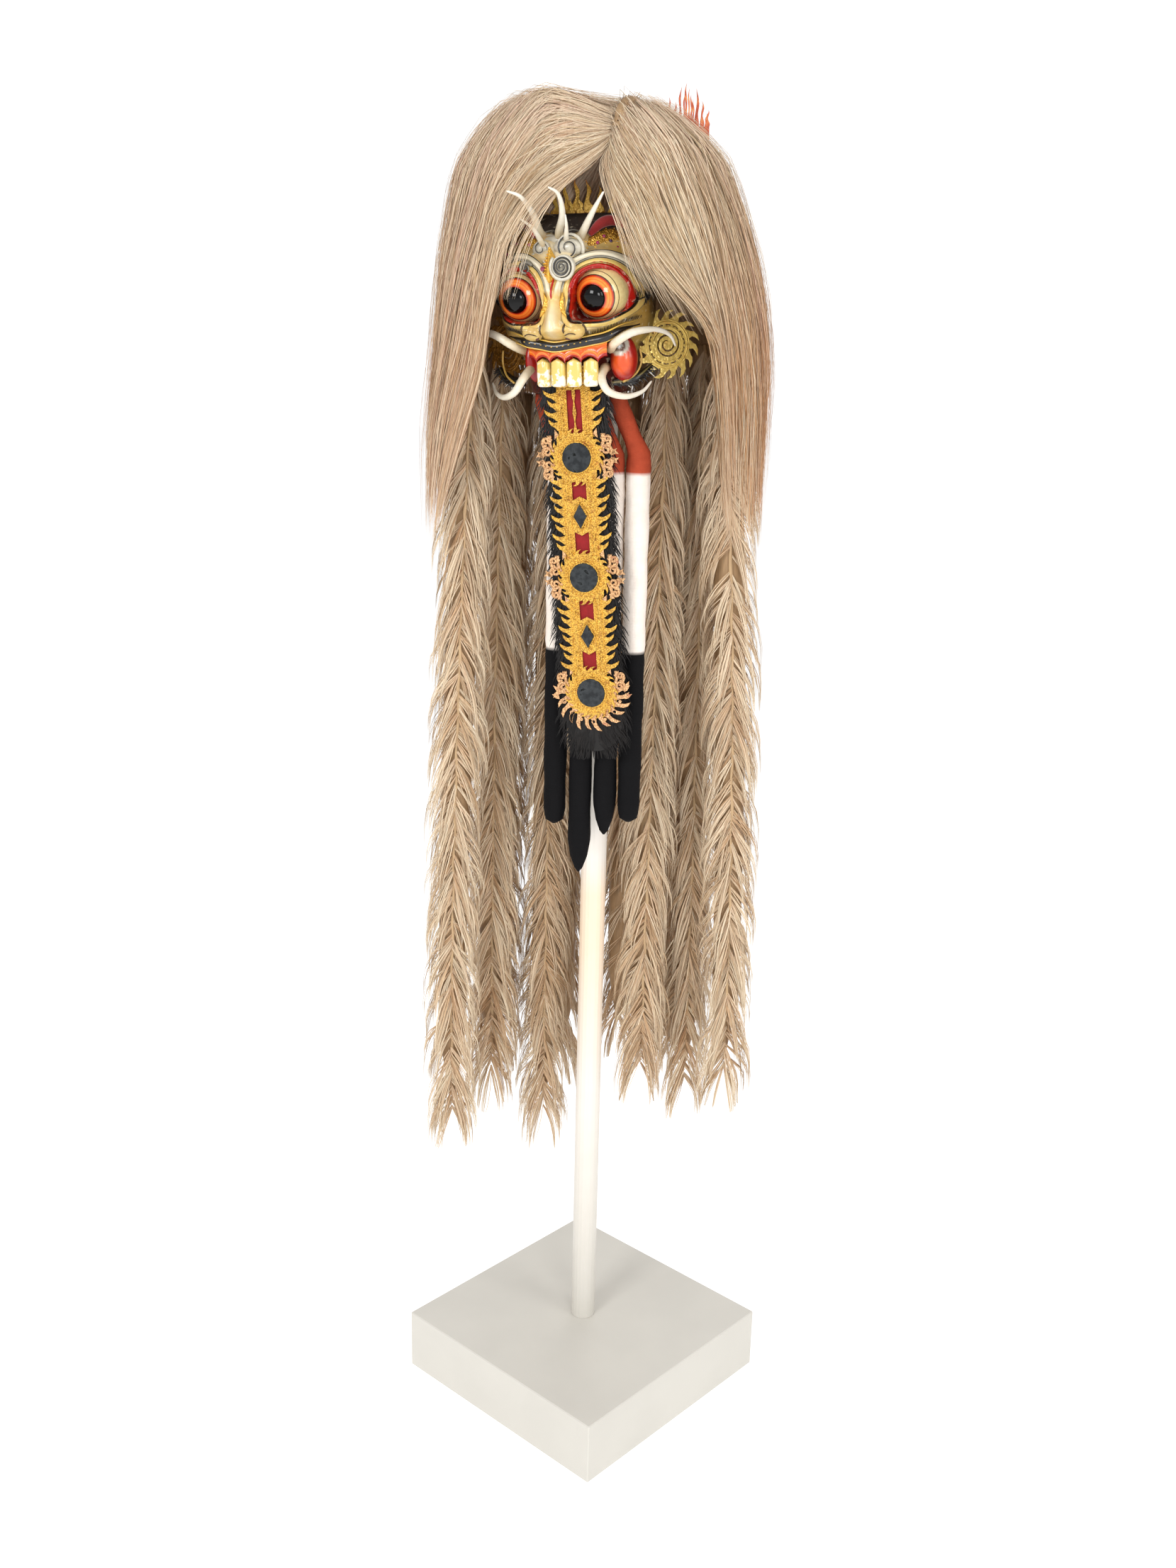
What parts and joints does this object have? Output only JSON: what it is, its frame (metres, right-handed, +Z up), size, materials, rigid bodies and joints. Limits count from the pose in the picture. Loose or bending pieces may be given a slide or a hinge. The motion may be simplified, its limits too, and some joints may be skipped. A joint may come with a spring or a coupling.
{
  "type": "balinese dance mask on stand",
  "caption": "Carved demon dance mask with tusks, a long gilt leather tongue and rope hair, fixed to a pole on a square plinth",
  "frame": {"origin": "middle of the plinth's underside", "axes": "+Z up along the pole, plinth corners along X and Y, viewer's side towards -Y, with the face turned 17 degrees towards -X"},
  "size_m": [0.5636, 0.5636, 1.984],
  "materials": {
    "white_paint": "matt off-white paint",
    "hair": "combed and twisted horse hair and plant fibre, tan to brown",
    "painted_wood": "glossy aged ivory and yellow paint with black, red and white lines",
    "ivory": "polished tusk with gilt grooves",
    "gilt": "pierced and embossed leather, gilded, with coloured glass gems",
    "red_gilt": "pierced leather, red lacquer with worn gilding",
    "black_fur": "black goat hair on its hide",
    "red_cloth": "plain red cotton",
    "mirror": "silvered glass",
    "rust_cloth": "stuffed cotton tubes, rust red, cream and black"
  },
  "bodies": {
    "root": {"brow_plate_left": "gilt", "brow_plate_right": "gilt", "brow_tusk_1": "ivory", "brow_tusk_2": "ivory", "brow_tusk_3": "ivory", "brow_tusk_4": "ivory", "brow_tusk_5": "ivory", "cloth_tube_1": "rust_cloth", "cloth_tube_2": "rust_cloth", "cloth_tube_3": "rust_cloth", "cloth_tube_4": "rust_cloth", "crest_flames": "red_gilt", "crown": "gilt", "ear_ornament_left": "gilt", "ear_ornament_right": "gilt", "forehead_leaf": "gilt", "hair_left": "hair", "hair_right": "hair", "hair_rope_back_1": "hair", "hair_rope_back_2": "hair", "hair_rope_back_3": "hair", "hair_rope_back_4": "hair", "hair_rope_left_front": "hair", "hair_rope_left_inner": "hair", "hair_rope_left_middle": "hair", "hair_rope_right_front": "hair", "hair_rope_right_inner": "hair", "hair_rope_right_middle": "hair", "lower_tusk_left": "ivory", "lower_tusk_right": "ivory", "mask_face": "painted_wood", "mirror_1": "mirror", "mirror_2": "mirror", "mirror_3": "mirror", "mirror_4": "mirror", "mirror_5": "mirror", "plinth": "white_paint", "pole": "white_paint", "tongue_cloth": "red_cloth", "tongue_fur": "black_fur", "tongue_leather": "gilt", "upper_tusk_left": "ivory", "upper_tusk_right": "ivory"}
  },
  "joints": []
}
